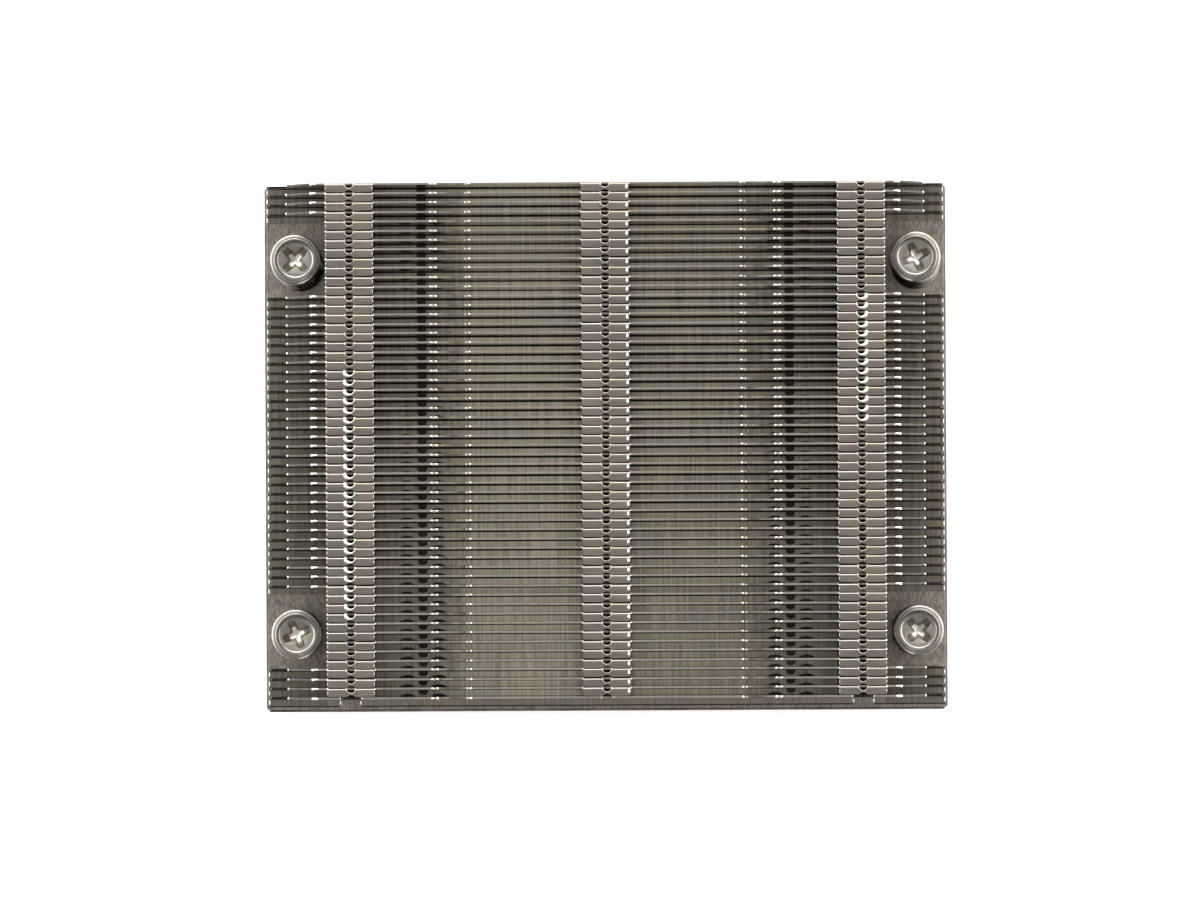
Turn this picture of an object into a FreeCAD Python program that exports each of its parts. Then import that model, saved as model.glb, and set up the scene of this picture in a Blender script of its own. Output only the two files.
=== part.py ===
"""Passive CPU heatsink for a low server: nickel-plated base, a stack of zipper fins, four captive screws.

Millimetres. The origin is the centre of the contact face under the base plate, +Z points away from
the processor, X runs along the fins (left to right) and Y across them (front to rear).
"""
import FreeCAD, Part
import math
import os

import Sketcher
from FreeCAD import Placement, Rotation, Vector

SIZES = [
    # screw pattern and the holes and clip pockets on it
    ("screw_spacing_long", 94.0),
    ("screw_spacing_short", 56.0),
    ("screw_hole_clearance", 0.4),
    ("clip_pocket_clearance", 0.5),
    ("clip_pocket_depth", 1.8),
    # base plate, as long as the screw pattern, its clip pockets and a wall at each end
    ("clip_pocket_wall", 0.8),
    ("base_width", 80.0),
    ("base_thickness", 5.0),
    ("base_corner_cut", 0.6),
    ("base_edge_break", 0.3),
    # the stack of fins
    ("sheet_thickness", 0.3),
    ("fold_relief", 0.15),
    ("fin_pitch", 1.41),
    ("fin_lap_clearance", 0.02),
    ("fin_height", 20.0),
    ("fin_setback", 0.1),
    ("fin_end_setback", 0.4),
    # room round the screw heads: to the short fins' ends, and to the full-length fins
    ("head_end_clearance", 1.0),
    ("head_row_clearance", 1.15),
    # lock tabs folded over at the top of each fin; the outer ones end the short fins
    ("tab_width", 7.2),
    ("lock_hole_width", 1.2),
    ("lock_hole_reach", 1.0),
    # sloping shoulder of a full-length fin, from its outer tab down to its low end
    ("shoulder_start", 2.4),
    ("shoulder_run", 3.5),
    ("shoulder_height", 12.0),
    ("fin_end_height", 4.0),
    # cut-outs of the foot flange
    ("foot_notch_bottom", 2.4),
    ("foot_notch_top", 3.2),
    ("foot_window_offset", 28.0),
    ("foot_window_width", 1.5),
    ("foot_window_depth", 0.5),
    # captive screw
    ("thread_diameter", 4.0),
    ("shank_diameter", 4.4),
    ("tip_reach", 4.5),
    ("head_diameter", 7.6),
    ("head_height", 3.0),
    ("head_chamfer", 0.4),
    ("recess_span", 4.5),
    ("recess_arm_width", 1.0),
    ("recess_web", 0.5),
    ("recess_depth", 2.1),
    ("recess_taper", 9.0),
    ("outer_screw_turn", 45.0),
    ("inner_screw_turn", 22.0),
    # retaining clip
    ("clip_diameter", 7.0),
    ("clip_thickness", 0.6),
    ("clip_opening", 2.6),
    ("clip_running_clearance", 0.05),
    ("groove_depth", 0.5),
    ("groove_play", 0.1),
    # spring
    ("spring_length", 11.6),
    ("spring_diameter", 7.4),
    ("spring_wire", 0.8),
    ("spring_turns", 5.0),
]

SPRING_STEPS_PER_TURN = 8
SPRING_WIRE_SIDES = 5

doc = FreeCAD.newDocument("passive_heatsink")
sheet = doc.addObject("Spreadsheet::Sheet", "Sizes")
for row, (size_name, value) in enumerate(SIZES, start=1):
    sheet.set(f"A{row}", size_name)
    sheet.set(f"B{row}", str(value))
    sheet.setAlias(f"B{row}", size_name)
doc.recompute()


def size(name):
    """A size of the sheet as a number."""
    return float(sheet.get(name))


def new_body(name):
    """An empty body."""
    body = doc.addObject("PartDesign::Body", name)
    body.Label = name
    return body


def new_sketch(body, name, plane_role, height="0"):
    """A sketch on one of the body's own planes, raised along the plane's normal."""
    sketch = body.newObject("Sketcher::SketchObject", name)
    plane = next(feature for feature in body.Origin.OriginFeatures if feature.Role == plane_role)
    sketch.AttachmentSupport = (plane, [""])
    sketch.MapMode = "FlatFace"
    sketch.setExpression(".AttachmentOffset.Base.z", height)
    return sketch


def pin_point(sketch, line, end, formulas, start):
    """Hold one point of a sketch at two formulas of the sheet."""
    for kind, formula, value in zip(("DistanceX", "DistanceY"), formulas, (start.x, start.y)):
        index = sketch.addConstraint(Sketcher.Constraint(kind, -1, 1, line, end, value))
        sketch.setExpression(f"Constraints[{index}]", formula)


def add_outline(sketch, corners):
    """A closed outline of straight lines through corners, each a pair of formulas."""
    first = sketch.GeometryCount
    count = len(corners)
    turns = [2 * math.pi * step / count for step in range(count)]
    starts = [Vector(math.cos(turn), math.sin(turn), 0) for turn in turns]
    for step in range(count):
        sketch.addGeometry(Part.LineSegment(starts[step], starts[(step + 1) % count]), False)
    for step in range(count):
        follower = first + (step + 1) % count
        sketch.addConstraint(Sketcher.Constraint("Coincident", first + step, 2, follower, 1))
    for step, formulas in enumerate(corners):
        pin_point(sketch, first + step, 1, formulas, starts[step])


def add_box(sketch, left, right, low, high):
    """A rectangle between four formulas."""
    add_outline(sketch, [(left, low), (right, low), (right, high), (left, high)])


def add_circle(sketch, centre, diameter):
    """A circle with its centre and diameter held by formulas."""
    index = sketch.addGeometry(Part.Circle(Vector(1, 1, 0), Vector(0, 0, 1), 1.0), False)
    pin_point(sketch, index, 3, centre, Vector(1, 1, 0))
    constraint = sketch.addConstraint(Sketcher.Constraint("Diameter", index, 2.0))
    sketch.setExpression(f"Constraints[{constraint}]", diameter)


def add_pad(body, name, sketch, length, symmetric=False):
    """Material along the sketch's normal."""
    pad = body.newObject("PartDesign::Pad", name)
    pad.Profile = sketch
    pad.setExpression("Length", length)
    if symmetric:
        pad.SideType = "Symmetric"
    sketch.Visibility = False
    return pad


def add_pocket(body, name, sketch, length, upward=False):
    """A cut against the sketch's normal, or along it when upward."""
    pocket = body.newObject("PartDesign::Pocket", name)
    pocket.Profile = sketch
    pocket.setExpression("Length", length)
    pocket.Reversed = upward
    return pocket


def add_through_cut(body, name, sketch):
    """A cut through the whole body, both ways from the sketch."""
    pocket = body.newObject("PartDesign::Pocket", name)
    pocket.Profile = sketch
    pocket.SideType = "Symmetric"
    pocket.Type = "ThroughAll"
    return pocket


def mirror_in_x(body, name, features):
    """The same features on the other side of the YZ plane."""
    mirrored = body.newObject("PartDesign::Mirrored", name)
    mirrored.Originals = features
    plane = next(feature for feature in body.Origin.OriginFeatures if feature.Role == "YZ_Plane")
    mirrored.MirrorPlane = (plane, [""])
    body.Tip = mirrored
    return mirrored


def edge_names(shape, wanted):
    """Names of the edges whose bounding boxes satisfy a test."""
    return [f"Edge{index}" for index, edge in enumerate(shape.Edges, start=1) if wanted(edge.BoundBox)]


def break_edges(body, name, wanted, size):
    """A chamfer on the body's present edges that satisfy a test."""
    doc.recompute()
    base = body.Tip
    chamfer = body.newObject("PartDesign::Chamfer", name)
    chamfer.Base = (base, edge_names(base.Shape, wanted))
    chamfer.setExpression("Size", size)
    return chamfer


# ---------------------------------------------------------------- base plate

CLIP_POCKET = "(Sizes.clip_diameter + 2 * Sizes.clip_pocket_clearance)"
BASE_END = f"(Sizes.screw_spacing_long / 2 + {CLIP_POCKET} / 2 + Sizes.clip_pocket_wall)"


def build_base_plate():
    """Flat plate with a screw hole and a round clip pocket near each corner."""
    body = new_body("base_plate")
    outline = new_sketch(body, "plate_outline", "XY_Plane")
    add_box(outline, f"-{BASE_END}", BASE_END, "-Sizes.base_width / 2", "Sizes.base_width / 2")
    add_pad(body, "plate", outline, "Sizes.base_thickness")

    def upright(box):
        return box.ZLength > box.XLength + box.YLength

    break_edges(body, "cut_corners", upright, "Sizes.base_corner_cut")
    break_edges(body, "break_rims", lambda box: not upright(box), "Sizes.base_edge_break")

    holes = new_sketch(body, "screw_holes", "XY_Plane")
    pockets = new_sketch(body, "clip_pockets", "XY_Plane")
    for across in ("-", ""):
        for along in ("-", ""):
            centre = (f"{across}Sizes.screw_spacing_long / 2", f"{along}Sizes.screw_spacing_short / 2")
            add_circle(holes, centre, "Sizes.shank_diameter + 2 * Sizes.screw_hole_clearance")
            add_circle(pockets, centre, CLIP_POCKET)
    add_pocket(body, "screw_hole_cut", holes, "Sizes.base_thickness", upward=True)
    add_pocket(body, "clip_pocket_cut", pockets, "Sizes.clip_pocket_depth", upward=True)
    return body


# ---------------------------------------------------------------- fins

REACH = "(Sizes.fin_pitch - Sizes.fin_lap_clearance)"
FOLD = "(Sizes.sheet_thickness + Sizes.fold_relief)"
PLAIN_EDGE = f"(Sizes.fin_height - {FOLD})"
ABOVE = "(Sizes.fin_height + Sizes.sheet_thickness)"
TAB_OUTER = "(Sizes.screw_spacing_long / 2 - Sizes.head_diameter / 2 - Sizes.head_end_clearance)"
TAB_CENTRE = f"({TAB_OUTER} - Sizes.tab_width / 2)"
TAB_INNER = f"({TAB_OUTER} - Sizes.tab_width)"
FIN_END = f"({BASE_END} - Sizes.fin_end_setback)"


def fold_section(body):
    """The folded section: foot flange, wall and lock tab, all towards -Y."""
    section = new_sketch(body, "fold_section", "YZ_Plane")
    add_outline(
        section,
        [
            ("0", "0"),
            ("0", "Sizes.fin_height"),
            (f"-{REACH}", "Sizes.fin_height"),
            (f"-{REACH}", "Sizes.fin_height - Sizes.sheet_thickness"),
            ("-Sizes.sheet_thickness", "Sizes.fin_height - Sizes.sheet_thickness"),
            ("-Sizes.sheet_thickness", "Sizes.sheet_thickness"),
            (f"-{REACH}", "Sizes.sheet_thickness"),
            (f"-{REACH}", "0"),
        ],
    )
    return section


def cut_top_between_tabs(body, has_tabs):
    """Leave the lock tabs only where the three rows of them stand."""
    outline = new_sketch(body, "between_tabs", "XZ_Plane")
    inner = "Sizes.tab_width / 2" if has_tabs else "-Sizes.tab_width / 2"
    outer = TAB_INNER if has_tabs else TAB_OUTER
    add_box(outline, inner, outer, PLAIN_EDGE, ABOVE)
    return add_through_cut(body, "between_tabs_cut", outline)


def cut_shoulder(body):
    """The end of a full-length fin: a sloping shoulder, a drop and a low end."""
    outline = new_sketch(body, "shoulder", "XZ_Plane")
    slope_top = f"{TAB_OUTER} + Sizes.shoulder_start"
    slope_end = f"{slope_top} + Sizes.shoulder_run"
    past_end = f"{FIN_END} + Sizes.sheet_thickness"
    add_outline(
        outline,
        [
            (TAB_OUTER, ABOVE),
            (TAB_OUTER, PLAIN_EDGE),
            (slope_top, PLAIN_EDGE),
            (slope_end, "Sizes.shoulder_height"),
            (slope_end, "Sizes.fin_end_height"),
            (past_end, "Sizes.fin_end_height"),
            (past_end, ABOVE),
        ],
    )
    return add_through_cut(body, "shoulder_cut", outline)


def cut_lock_holes(body):
    """A hole at the fold of each tab, through the tab and into the top of the wall."""
    holes = new_sketch(body, "lock_holes", "XY_Plane", "Sizes.fin_height")
    for centre in (f"-{TAB_CENTRE}", "0", TAB_CENTRE):
        add_box(
            holes,
            f"{centre} - Sizes.lock_hole_width / 2",
            f"{centre} + Sizes.lock_hole_width / 2",
            "-Sizes.lock_hole_reach",
            "Sizes.lock_hole_reach",
        )
    add_pocket(body, "lock_hole_cut", holes, "Sizes.sheet_thickness")


def cut_foot(body):
    """Cut-outs of the foot flange: a notch with slanted ends below each outer tab row, and a window."""
    outline = new_sketch(body, "foot_cut_outs", "XY_Plane")
    past_lip = f"-{REACH} - Sizes.sheet_thickness"
    top = "Sizes.foot_notch_top / 2"
    bottom = "Sizes.foot_notch_bottom / 2"
    add_outline(
        outline,
        [
            (f"{TAB_CENTRE} - {bottom}", f"-{FOLD}"),
            (f"{TAB_CENTRE} + {bottom}", f"-{FOLD}"),
            (f"{TAB_CENTRE} + {top}", past_lip),
            (f"{TAB_CENTRE} - {top}", past_lip),
        ],
    )
    add_box(
        outline,
        "Sizes.foot_window_offset - Sizes.foot_window_width / 2",
        "Sizes.foot_window_offset + Sizes.foot_window_width / 2",
        f"-{FOLD} - Sizes.foot_window_depth",
        f"-{FOLD}",
    )
    return add_pocket(body, "foot_cut", outline, "Sizes.sheet_thickness", upward=True)


def build_fin(name, end, has_tabs, has_shoulders):
    """One stamped fin; its wall's rear face lies on Y = 0 and its foot on Z = 0.

    The foot's cut-outs are hidden under the tabs of the next fins, so only a fin without tabs gets them.
    """
    body = new_body(name)
    add_pad(body, "folded_sheet", fold_section(body), f"2 * {end}", symmetric=True)
    cuts = [cut_top_between_tabs(body, has_tabs)]
    if has_shoulders:
        cuts.append(cut_shoulder(body))
    if not has_tabs:
        cuts.append(cut_foot(body))
    mirror_in_x(body, "other_side", cuts)
    if has_tabs:
        cut_lock_holes(body)
    return body


def place_fin(form, name, index):
    """A copy of a fin form at its place in the stack, counted from the rear."""
    fin = doc.addObject("Part::Feature", name)
    fin.Label = name
    fin.Shape = form.Shape
    fin.setExpression(
        ".Placement.Base.y",
        f"Sizes.base_width / 2 - Sizes.fin_setback - {index} * Sizes.fin_pitch",
    )
    fin.setExpression(".Placement.Base.z", "Sizes.base_thickness")
    return fin


def beside_screw(index):
    """True when a fin of the stack would come too near a pair of screw heads at full length."""
    rear = size("base_width") / 2 - size("fin_setback") - index * size("fin_pitch")
    front = rear - size("fin_pitch") + size("fin_lap_clearance")
    reach = size("head_diameter") / 2 + size("head_row_clearance")
    screws = (size("screw_spacing_short") / 2, -size("screw_spacing_short") / 2)
    return any(front < screw + reach and rear > screw - reach for screw in screws)


def build_fin_stack():
    """The whole stack: single full-length fins, and two groups of short ones beside the screws."""
    full_form = build_fin("full_fin_form", FIN_END, True, True)
    short_form = build_fin("short_fin_form", TAB_OUTER, True, False)
    last_form = build_fin("last_fin_form", FIN_END, False, True)
    doc.recompute()

    room = size("base_width") - 2 * size("fin_setback")
    count = math.floor(room / size("fin_pitch"))
    nodes = []
    short_groups = {"short_fins_rear": [], "short_fins_front": []}
    for index in range(count):
        name = f"fin_{index + 1:02d}"
        if index == count - 1:
            nodes.append(place_fin(last_form, name, index))
        elif beside_screw(index):
            group = "short_fins_rear" if index < count / 2 else "short_fins_front"
            short_groups[group].append(place_fin(short_form, name, index))
        else:
            nodes.append(place_fin(full_form, name, index))
    for group, members in short_groups.items():
        compound = doc.addObject("Part::Compound", group)
        compound.Label = group
        compound.Links = members
        nodes.append(compound)
    return nodes


# ---------------------------------------------------------------- captive screws

HEAD_SEAT = "(Sizes.base_thickness + Sizes.spring_length)"
HEAD_TOP = f"({HEAD_SEAT} + Sizes.head_height)"
GROOVE_DIAMETER = "(Sizes.thread_diameter - 2 * Sizes.groove_depth)"


def build_screw_form():
    """Screw on the Z axis at its rest height: threaded tip, clip groove, thicker shank, recessed head."""
    body = new_body("screw_form")
    profile = new_sketch(body, "turned_profile", "XZ_Plane")
    clip_bottom = "Sizes.clip_pocket_depth - Sizes.clip_thickness"
    groove_top = "Sizes.clip_pocket_depth + Sizes.groove_play"
    shank = "Sizes.shank_diameter / 2"
    thread = "Sizes.thread_diameter / 2"
    add_outline(
        profile,
        [
            ("0", "-Sizes.tip_reach"),
            (thread, "-Sizes.tip_reach"),
            (thread, clip_bottom),
            (f"{GROOVE_DIAMETER} / 2", clip_bottom),
            (f"{GROOVE_DIAMETER} / 2", groove_top),
            (shank, groove_top),
            (shank, HEAD_SEAT),
            ("Sizes.head_diameter / 2", HEAD_SEAT),
            ("Sizes.head_diameter / 2", f"{HEAD_TOP} - Sizes.head_chamfer"),
            ("Sizes.head_diameter / 2 - Sizes.head_chamfer", HEAD_TOP),
            ("0", HEAD_TOP),
        ],
    )
    turned = body.newObject("PartDesign::Revolution", "turned_blank")
    turned.Profile = profile
    turned.ReferenceAxis = (profile, ["V_Axis"])
    turned.Angle = 360

    cross = new_sketch(body, "cross_recess", "XY_Plane", HEAD_TOP)
    tip = "Sizes.recess_span / 2"
    side = "Sizes.recess_arm_width / 2"
    web = "(Sizes.recess_arm_width / 2 + Sizes.recess_web)"
    arm = [(tip, f"-{side}"), (tip, side), (web, side), (side, web)]
    corners = []
    for quarter in range(4):
        corners.extend(arm)
        arm = [(f"-({up})", across) for across, up in arm]
    add_outline(cross, corners)
    recess = add_pocket(body, "cross_recess_cut", cross, "Sizes.recess_depth")
    recess.setExpression("TaperAngle", "-Sizes.recess_taper")
    return body


def build_clip_form():
    """Open retaining ring that sits in the screw's groove against the roof of its pocket."""
    body = new_body("clip_form")
    ring = new_sketch(body, "ring", "XY_Plane", "Sizes.clip_pocket_depth - Sizes.clip_thickness")
    add_circle(ring, ("0", "0"), "Sizes.clip_diameter")
    add_circle(ring, ("0", "0"), f"{GROOVE_DIAMETER} + 2 * Sizes.clip_running_clearance")
    add_pad(body, "ring_blank", ring, "Sizes.clip_thickness")
    mouth = new_sketch(body, "mouth", "XY_Plane", "Sizes.clip_pocket_depth")
    add_box(mouth, "-Sizes.clip_opening / 2", "Sizes.clip_opening / 2", "0", "Sizes.clip_diameter")
    add_pocket(body, "mouth_cut", mouth, "Sizes.clip_thickness")
    return body


def spring_ring(step, rise):
    """Corners of the wire's section at one step along the coil, flattened where the ends are ground."""
    turn = 2 * math.pi * step / SPRING_STEPS_PER_TURN
    outward = Vector(math.cos(turn), math.sin(turn), 0)
    wire_radius = size("spring_wire") / 2
    coil_radius = size("spring_diameter") / 2 - wire_radius
    length = size("spring_length")
    corners = []
    for side in range(SPRING_WIRE_SIDES):
        angle = 2 * math.pi * side / SPRING_WIRE_SIDES
        height = rise * step + wire_radius * math.sin(angle)
        corner = outward * (coil_radius + wire_radius * math.cos(angle))
        corner.z = min(max(height, 0), length)
        corners.append(corner)
    return corners


def triangle(first, second, third):
    """A flat face between three points."""
    return Part.Face(Part.makePolygon([first, second, third, first]))


def build_spring_form():
    """Compression spring with ground ends, its foot on Z = 0; the wire has few flat sides."""
    length = size("spring_length")
    steps = round(size("spring_turns") * SPRING_STEPS_PER_TURN)
    rings = [spring_ring(step, length / steps) for step in range(steps + 1)]
    faces = [Part.Face(Part.makePolygon(ring + ring[:1])) for ring in (rings[0], rings[-1])]
    for lower, upper in zip(rings, rings[1:]):
        for side in range(SPRING_WIRE_SIDES):
            after = (side + 1) % SPRING_WIRE_SIDES
            faces.append(triangle(lower[side], lower[after], upper[after]))
            faces.append(triangle(lower[side], upper[after], upper[side]))
    spring = doc.addObject("Part::Feature", "spring_form")
    spring.Shape = Part.Solid(Part.Shell(faces))
    return spring


def place_at_corner(form, name, across, along, height="0", turn="0"):
    """A copy of a form on one corner of the screw pattern, turned about its own axis."""
    copy = doc.addObject("Part::Feature", name)
    copy.Label = name
    copy.Shape = form.Shape
    copy.Placement = Placement(Vector(0, 0, 0), Rotation(Vector(0, 0, 1), 1))
    copy.setExpression(".Placement.Base.x", f"{across}Sizes.screw_spacing_long / 2")
    copy.setExpression(".Placement.Base.y", f"{along}Sizes.screw_spacing_short / 2")
    copy.setExpression(".Placement.Base.z", height)
    copy.setExpression(".Placement.Rotation.Angle", turn)
    return copy


def build_fasteners():
    """Screw, clip and spring at each corner of the pattern."""
    forms = {"screw": build_screw_form(), "clip": build_clip_form(), "spring": build_spring_form()}
    doc.recompute()
    corners = [
        ("rear_left", "-", "", "Sizes.outer_screw_turn"),
        ("rear_right", "", "", "Sizes.inner_screw_turn"),
        ("front_left", "-", "-", "Sizes.inner_screw_turn"),
        ("front_right", "", "-", "Sizes.outer_screw_turn"),
    ]
    nodes = []
    for corner, across, along, turn in corners:
        place = (across, along)
        nodes.append(place_at_corner(forms["screw"], f"screw_{corner}", *place, turn=turn))
        nodes.append(place_at_corner(forms["clip"], f"clip_{corner}", *place))
        spring = place_at_corner(forms["spring"], f"spring_{corner}", *place, height="Sizes.base_thickness")
        nodes.append(spring)
    return nodes


# ---------------------------------------------------------------- check and export


def check_document():
    """Stop if any object failed to compute."""
    for item in doc.Objects:
        if "Invalid" in item.State or "Error" in item.State:
            raise RuntimeError(f"{item.Label} failed: {item.State}")


def check_node(node):
    """Stop if a sub-part has no sound solid."""
    if node.Shape.isNull() or not node.Shape.isValid() or not node.Shape.Solids:
        raise RuntimeError(f"{node.Label} has no sound solid")


nodes = [build_base_plate()]
nodes.extend(build_fin_stack())
nodes.extend(build_fasteners())
doc.recompute()
check_document()
for node in nodes:
    check_node(node)

os.makedirs("parts", exist_ok=True)
for node in nodes:
    node.Shape.exportStep(f"parts/{node.Label}.step")
print(len(nodes), "nodes", sum(len(node.Shape.Solids) for node in nodes), "solids")
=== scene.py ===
"""Looks of the passive heatsink: folded plated fins, brushed plate, captive screws and springs."""

import math
import random

import bmesh
import bpy
from mathutils import Matrix, Vector
from mathutils.geometry import delaunay_2d_cdt


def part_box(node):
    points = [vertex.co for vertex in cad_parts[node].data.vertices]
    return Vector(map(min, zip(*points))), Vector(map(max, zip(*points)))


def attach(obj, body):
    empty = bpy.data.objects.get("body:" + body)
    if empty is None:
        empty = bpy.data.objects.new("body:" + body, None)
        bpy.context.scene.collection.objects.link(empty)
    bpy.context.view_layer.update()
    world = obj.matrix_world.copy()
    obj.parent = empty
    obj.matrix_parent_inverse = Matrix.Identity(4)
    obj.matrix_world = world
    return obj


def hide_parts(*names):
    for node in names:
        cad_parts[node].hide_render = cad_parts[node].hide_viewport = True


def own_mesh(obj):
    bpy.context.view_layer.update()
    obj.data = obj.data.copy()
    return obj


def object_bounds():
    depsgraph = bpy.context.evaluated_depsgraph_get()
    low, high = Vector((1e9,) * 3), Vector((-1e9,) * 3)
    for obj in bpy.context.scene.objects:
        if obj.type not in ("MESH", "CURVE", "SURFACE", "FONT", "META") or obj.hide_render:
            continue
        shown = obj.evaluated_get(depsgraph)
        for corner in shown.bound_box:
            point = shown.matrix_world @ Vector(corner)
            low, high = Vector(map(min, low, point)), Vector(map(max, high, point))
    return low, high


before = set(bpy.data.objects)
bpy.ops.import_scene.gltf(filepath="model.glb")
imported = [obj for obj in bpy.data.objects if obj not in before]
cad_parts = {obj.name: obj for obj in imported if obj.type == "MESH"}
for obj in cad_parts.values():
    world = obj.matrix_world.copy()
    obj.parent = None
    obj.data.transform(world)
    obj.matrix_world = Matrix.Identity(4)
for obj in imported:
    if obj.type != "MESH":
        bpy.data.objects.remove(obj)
cad_low, cad_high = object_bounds()
random.seed(7)

MM = 0.001
CORNERS = ("rear_left", "rear_right", "front_left", "front_right")
SHORT_GROUPS = ("short_fins_rear", "short_fins_front")

# ---------------------------------------------------------------- places read from the parts in model.glb

plate_low, plate_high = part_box("base_plate")
full_nodes = sorted(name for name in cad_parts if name.startswith("fin_"))
last_node = full_nodes[-1]
first_low, first_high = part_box(full_nodes[0])
last_low, last_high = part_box(last_node)
pitch = first_high.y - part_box(full_nodes[1])[1].y
short_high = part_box(SHORT_GROUPS[0])[1]


# ---------------------------------------------------------------- small helpers


def add_object(name, mesh):
    """A linked object that shows a mesh."""
    piece = bpy.data.objects.new(name, mesh)
    bpy.context.scene.collection.objects.link(piece)
    return piece


def mesh_from(name, verts, faces):
    """A mesh from points in metres and polygons."""
    mesh = bpy.data.meshes.new(name)
    mesh.from_pydata([tuple(vert) for vert in verts], [], faces)
    mesh.update()
    return mesh


def bake_modifiers(piece):
    """Replace the piece's mesh by the one its modifiers give."""
    bpy.context.view_layer.update()
    graph = bpy.context.evaluated_depsgraph_get()
    baked = bpy.data.meshes.new_from_object(piece.evaluated_get(graph))
    piece.modifiers.clear()
    piece.data = baked
    return baked


def moved_copy(mesh, matrix):
    """A copy of a mesh with its points moved."""
    copy = mesh.copy()
    copy.transform(matrix)
    copy.update()
    return copy


def joined(name, meshes):
    """One mesh out of several."""
    builder = bmesh.new()
    for mesh in meshes:
        builder.from_mesh(mesh)
    result = bpy.data.meshes.new(name)
    builder.to_mesh(result)
    builder.free()
    return result


def ring_faces(rings, sides):
    """Faces between neighbouring rings of points."""
    faces = []
    for ring in range(rings - 1):
        first = ring * sides
        for side in range(sides):
            after = (side + 1) % sides
            faces.append([first + side, first + after, first + sides + after, first + sides + side])
    return faces


def closed_tube(name, verts, sides):
    """A tube through rings of points, with a cap at each end and its faces turned outwards."""
    rings = len(verts) // sides
    faces = ring_faces(rings, sides)
    faces.append(list(range(sides)))
    faces.append([(rings - 1) * sides + side for side in range(sides)][::-1])
    mesh = mesh_from(name, verts, faces)
    builder = bmesh.new()
    builder.from_mesh(mesh)
    bmesh.ops.recalc_face_normals(builder, faces=builder.faces)
    builder.to_mesh(mesh)
    builder.free()
    return mesh


def rounded(corners, steps=4):
    """An outline whose corners are given as (x, y, radius), with each radius drawn as an arc."""
    points = []
    count = len(corners)
    for index, (x, y, radius) in enumerate(corners):
        here = Vector((x, y))
        if radius == 0:
            points.append(here)
            continue
        back = (Vector(corners[index - 1][:2]) - here).normalized()
        ahead = (Vector(corners[(index + 1) % count][:2]) - here).normalized()
        half = math.acos(max(-1, min(1, back.dot(ahead)))) / 2
        reach = radius / math.tan(half)
        centre = here + (back + ahead).normalized() * radius / math.sin(half)
        first = here + back * reach - centre
        last = here + ahead * reach - centre
        turn = first.angle_signed(last)
        for step in range(steps + 1):
            arm = first.copy()
            arm.rotate(Matrix.Rotation(-turn * step / steps, 2))
            points.append(centre + arm)
    return points


# ---------------------------------------------------------------- materials

# the stack from its last wall to its first, and the ends of the last fin's foot notches
STACK_FRONT = last_high.y - 0.31 * MM
STACK_REAR = first_high.y
NOTCH_INNER = short_high.x - 4.8 * MM
NOTCH_OUTER = short_high.x - 1.6 * MM
# where the shoulder of a full-length fin starts to slope, in mm from the middle
SHOULDER_START = 44.6
# noise: the same along every axis, its scale for streaks and for clouds, and the streaks' depth
EVEN = (1.0, 1.0, 1.0)
STREAK_SCALE = 1500.0
CLOUD_SCALE = 130.0
STREAK_DEPTH = 0.02 * MM
WARM_CLOUD = (1.04, 1.0, 0.95)
COOL_CLOUD = (0.92, 0.93, 0.95)
# colours of the plating on show; paler copies on the mirror-like walls and on the feet, which are painted
# light in the slots; and where it is dull, which is also the base of the painted shades
NICKEL = (0.315, 0.281, 0.242)
PALE = (0.94, 0.915, 0.875)
FOOT = (0.98, 0.9, 0.78)
DULL = (0.53, 0.473, 0.393)
# warm tint of the painted shade in the slots
SLOT_SHADE_TINT = (1.0, 0.975, 0.935)
# painted shade in the slots: the share of their light that is kept, by place from left to right in mm, up
# to the reach; darkest under the tabs
ZONE_REACH = 43.0
SLOT_SHADE = [
    (-42.6, 0.8),
    (-42.4, 0.1),
    (-35.3, 0.1),
    (-35.1, 0.7),
    (-34.0, 0.55),
    (-26.5, 0.55),
    (-24.0, 0.7),
    (-20.0, 0.95),
    (-12.0, 1.0),
    (-3.8, 0.98),
    (-3.5, 0.1),
    (3.5, 0.1),
    (3.8, 0.88),
    (12.0, 0.84),
    (19.0, 0.8),
    (25.5, 0.55),
    (34.0, 0.48),
    (35.1, 0.6),
    (35.3, 0.1),
    (42.4, 0.1),
    (42.6, 0.8),
]


def new_material(name):
    """A new node material, with its nodes and links."""
    material = bpy.data.materials.new(name)
    material.use_nodes = True
    return material, material.node_tree.nodes, material.node_tree.links


def stretched_noise(nodes, links, stretch, scale, detail=3.0):
    """Noise in the object's own coordinates, stretched by a factor along each axis."""
    coords = nodes.new("ShaderNodeTexCoord")
    mapping = nodes.new("ShaderNodeMapping")
    mapping.inputs["Scale"].default_value = stretch
    noise = nodes.new("ShaderNodeTexNoise")
    noise.inputs["Scale"].default_value = scale
    noise.inputs["Detail"].default_value = detail
    links.new(coords.outputs["Object"], mapping.inputs["Vector"])
    links.new(mapping.outputs["Vector"], noise.inputs["Vector"])
    return noise


def ramp(nodes, links, source, stops):
    """A colour ramp on a value, from (place, colour) pairs."""
    node = nodes.new("ShaderNodeValToRGB")
    elements = node.color_ramp.elements
    while len(elements) < len(stops):
        elements.new(0.5)
    for element, (place, colour) in zip(elements, stops):
        element.position = place
        element.color = (*colour, 1)
    links.new(source, node.inputs["Fac"])
    return node


def blended(nodes, links, mode, factor, first, second):
    """A colour mix of two sockets."""
    mix = nodes.new("ShaderNodeMix")
    mix.data_type = "RGBA"
    mix.blend_type = mode
    mix.inputs["Factor"].default_value = factor
    links.new(first, mix.inputs["A"])
    links.new(second, mix.inputs["B"])
    return mix.outputs["Result"]


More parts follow.
